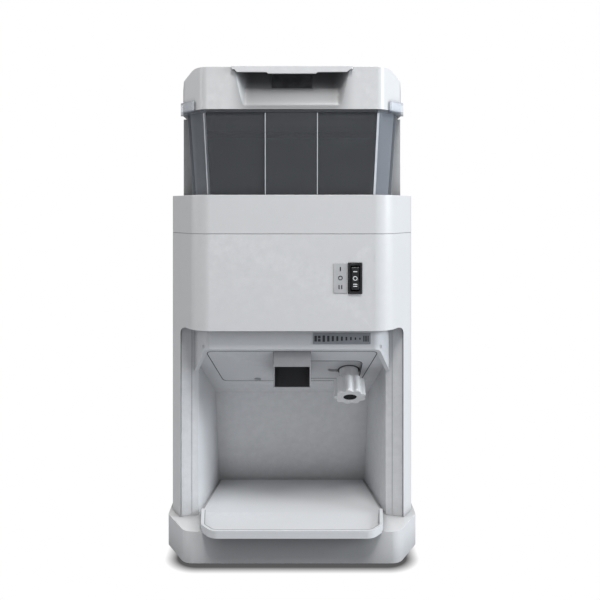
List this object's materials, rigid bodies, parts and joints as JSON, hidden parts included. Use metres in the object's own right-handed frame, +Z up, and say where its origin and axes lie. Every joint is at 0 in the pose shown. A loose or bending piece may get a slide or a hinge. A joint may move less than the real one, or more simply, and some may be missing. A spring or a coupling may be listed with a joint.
{
  "type": "shaved ice machine",
  "caption": "Countertop cube-ice shaving machine: clear hopper under a lidded hood, motor-driven impeller, adjustable blade, open serving bay with slide-out drip tray.",
  "frame": {"origin": "centre of the machine's outline at the level of the counter it stands on", "axes": "+X to the operator's right when facing the bay, +Y to the back, +Z up"},
  "size_m": [0.2752, 0.3699, 0.5327],
  "materials": {
    "white_shell": "satin white ABS",
    "inner_white": "fine satin white ABS",
    "clear_bin": "clear smoke-tinted moulding",
    "black_plastic": "satin",
    "grey_label": "printed film",
    "knob_white": "satin",
    "rubber": "matt",
    "stainless": "brushed",
    "steel": "zinc plated",
    "aluminium": "cast and milled",
    "motor_paint": "satin",
    "brass": "turned",
    "wire": "PVC sleeve",
    "cream_plastic": "satin"
  },
  "bodies": {
    "housing": {"base_shell": "white_shell", "base_plate": "steel", "rubber_feet": "rubber", "body_shell": "white_shell", "bay_liner": "inner_white", "ceiling_cover": "inner_white", "cover_screw": "steel", "rear_cover": "white_shell", "upper_collar": "white_shell", "hopper": "clear_bin", "hopper_shroud": "white_shell", "hopper_gasket": "rubber", "hood": "white_shell", "lid_pin": "steel", "drum": "stainless", "cutter_deck": "aluminium", "deck_posts": "steel", "deck_screws": "steel", "guide_pins": "steel", "ice_chute": "inner_white", "bearing_housing": "aluminium", "spindle_bearings": "steel", "drive_belt": "rubber", "motor_body": "motor_paint", "motor_bracket": "steel", "motor_posts": "steel", "motor_screws": "steel", "capacitor": "knob_white", "switch_bezel": "black_plastic", "switch_label": "grey_label", "scale_label": "grey_label", "interlock_switch": "black_plastic", "terminal_block": "cream_plastic", "wiring_loom": "wire", "power_cord": "rubber", "cord_grip": "rubber", "base_screws": "steel", "rear_cover_screws": "steel", "chute_liner": "black_plastic", "latch_plate": "black_plastic"},
    "lid_flap": {"lid": "white_shell"},
    "tray": {"drip_tray": "inner_white"},
    "rocker_body": {"rocker": "black_plastic"},
    "adjuster": {"adjust_slide": "knob_white"},
    "knob": {"adjust_knob": "knob_white", "knob_insert": "brass"},
    "blade_holder": {"blade_carrier": "aluminium", "blade": "stainless", "blade_screws": "steel"},
    "ice_drive": {"impeller": "stainless", "spindle": "steel", "impeller_nut": "steel", "driven_pulley": "aluminium"},
    "rotor": {"motor_shaft": "steel", "motor_pulley": "aluminium", "motor_fan": "black_plastic"},
    "plunger": {"interlock_plunger": "cream_plastic"}
  },
  "joints": [
    {"name": "lid_hinge", "type": "hinge", "parent": "housing", "child": "lid_flap", "pos_m": [0, 0.06, 0.5298], "axis": [-1, 0, 0], "range_deg": [0, 100]},
    {"name": "tray_slide", "type": "slide", "parent": "housing", "child": "tray", "axis": [0, -1, 0], "range_m": [0, 0.15]},
    {"name": "switch_rock", "type": "hinge", "parent": "housing", "child": "rocker_body", "pos_m": [0.0663, -0.166, 0.3046], "axis": [1, 0, 0], "range_deg": [-7, 7]},
    {"name": "adjust_travel", "type": "slide", "parent": "housing", "child": "adjuster", "axis": [1, 0, 0], "range_m": [-0.0095, 0]},
    {"name": "knob_turn", "type": "hinge", "parent": "adjuster", "child": "knob", "pos_m": [0.0648, -0.1, 0.19354], "axis": [0, -0.6157, -0.788], "range_deg": [-90, 360]},
    {"name": "blade_lift", "type": "slide", "parent": "housing", "child": "blade_holder", "axis": [0, 0, 1], "range_m": [0, 0.0012]},
    {"name": "impeller_spin", "type": "hinge", "parent": "housing", "child": "ice_drive", "pos_m": [0, -0.048, 0.25], "axis": [0, 0, 1], "continuous": true},
    {"name": "motor_spin", "type": "hinge", "parent": "housing", "child": "rotor", "pos_m": [0, 0.095, 0.15], "axis": [0, 0, 1], "continuous": true},
    {"name": "interlock_travel", "type": "slide", "parent": "housing", "child": "plunger", "axis": [0, 0, 1], "range_m": [0, 0.002]}
  ],
  "couplings": [
    {"joint": "motor_spin", "follows": "impeller_spin", "ratio": 2.5},
    {"joint": "blade_lift", "follows": "adjust_travel", "ratio": -0.05},
    {"joint": "interlock_travel", "follows": "lid_hinge", "m_per_rad": 0.0011458}
  ]
}
